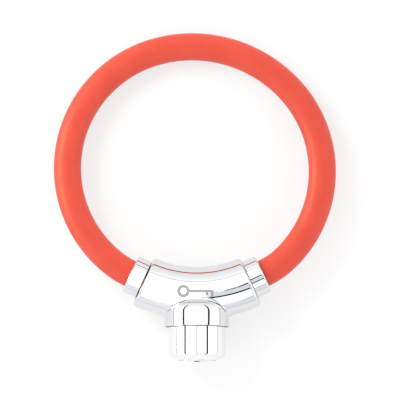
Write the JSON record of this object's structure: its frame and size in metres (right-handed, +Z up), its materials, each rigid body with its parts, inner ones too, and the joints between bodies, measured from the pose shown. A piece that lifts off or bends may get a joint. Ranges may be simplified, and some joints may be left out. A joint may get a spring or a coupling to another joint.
{
  "type": "ring cable lock",
  "caption": "Key-operated ring cable lock: a stiff silicone-sleeved steel cable loop closed by a chrome tee-shaped lock head with a cylinder knob.",
  "frame": {"origin": "centre of the bounding box's footprint, on the table the lock lies on", "axes": "+Y from the lock head to the far side of the ring, +Z up from the table, +X towards the end of the cable that pulls out"},
  "size_m": [0.1548, 0.1806, 0.0361],
  "materials": {
    "plated_body": "bright nickel-chrome plate on a zinc casting",
    "plated_cover": "bright chrome plate on a drawn cup",
    "plated_ferrule": "bright chrome plate on turned steel",
    "orange_sleeve": "smooth satin silicone, orange-red",
    "jacket": "extruded black plastic",
    "steel_rope": "galvanised stranded steel",
    "brass_cylinder": "turned and broached brass",
    "brass_wafer": "stamped brass",
    "spring_steel": "spring steel",
    "hardened_pin": "hardened dark steel",
    "turned_steel": "turned and case-hardened steel"
  },
  "bodies": {
    "lock_body": {"lock_body": "plated_body", "cylinder_cover": "plated_cover", "cylinder_shell": "brass_cylinder", "cylinder_pin": "hardened_pin", "drill_guard_pins": "hardened_pin", "dust_cover_ring": "spring_steel", "fixed_ferrule": "plated_ferrule", "anchor_stud": "turned_steel", "anchor_pin": "hardened_pin", "silicone_sleeve_1": "orange_sleeve", "inner_jacket_1": "jacket", "steel_cable_1": "steel_rope"},
    "cable_left": {"silicone_sleeve_2": "orange_sleeve", "inner_jacket_2": "jacket", "steel_cable_2": "steel_rope"},
    "cable_right": {"silicone_sleeve_3": "orange_sleeve", "inner_jacket_3": "jacket", "steel_cable_3": "steel_rope"},
    "free_end": {"silicone_sleeve_4": "orange_sleeve", "inner_jacket_4": "jacket", "steel_cable_4": "steel_rope", "locking_ferrule": "plated_ferrule", "locking_stud": "turned_steel"},
    "key_plug": {"key_plug": "brass_cylinder", "drive_cam": "turned_steel", "plug_clip": "spring_steel", "wafer_springs": "spring_steel"},
    "wafers": {"wafer_1": "brass_wafer", "wafer_2": "brass_wafer", "wafer_3": "brass_wafer", "wafer_4": "brass_wafer", "wafer_5": "brass_wafer"},
    "latch_bolt": {"latch_bolt": "turned_steel"},
    "dust_cover": {"dust_cover": "plated_cover"}
  },
  "joints": [
    {"name": "flex_top", "type": "hinge", "parent": "cable_left", "child": "cable_right", "pos_m": [-0.03141, 0.08453, 0.00738], "axis": [0, 0.0704, 0.9975], "range_deg": [0, 36], "stiffness_Nm_per_rad": 1.5},
    {"name": "flex_left", "type": "hinge", "parent": "lock_body", "child": "cable_left", "pos_m": [-0.05301, -0.01572, 0.01445], "axis": [0, 0.0704, 0.9975], "range_deg": [-18.01, 0]},
    {"name": "flex_right", "type": "hinge", "parent": "cable_right", "child": "free_end", "pos_m": [0.05862, 0.03503, 0.01087], "axis": [0, 0.0704, 0.9975], "range_deg": [-18.01, 0]},
    {"name": "key_turn", "type": "hinge", "parent": "lock_body", "child": "key_plug", "pos_m": [0.00106, -0.07791, 0.01884], "axis": [0, 0.9975, -0.0704], "range_deg": [0, 90]},
    {"name": "latch_slide", "type": "slide", "parent": "lock_body", "child": "latch_bolt", "axis": [0, -0.0704, -0.9975], "range_m": [0, 0.00312]},
    {"name": "wafer_slide", "type": "slide", "parent": "key_plug", "child": "wafers", "axis": [0, 0.0704, 0.9975], "range_m": [0, 0.001], "deforming": ["wafer_springs"]},
    {"name": "cover_turn", "type": "hinge", "parent": "lock_body", "child": "dust_cover", "pos_m": [0.00106, -0.08839, 0.01958], "axis": [0, 0.9975, -0.0704], "range_deg": [0, 90]}
  ],
  "couplings": [
    {"joint": "flex_left", "follows": "flex_top", "ratio": -0.5},
    {"joint": "flex_right", "follows": "flex_top", "ratio": -0.5},
    {"joint": "latch_slide", "follows": "key_turn", "m_per_rad": 0.0019807}
  ]
}
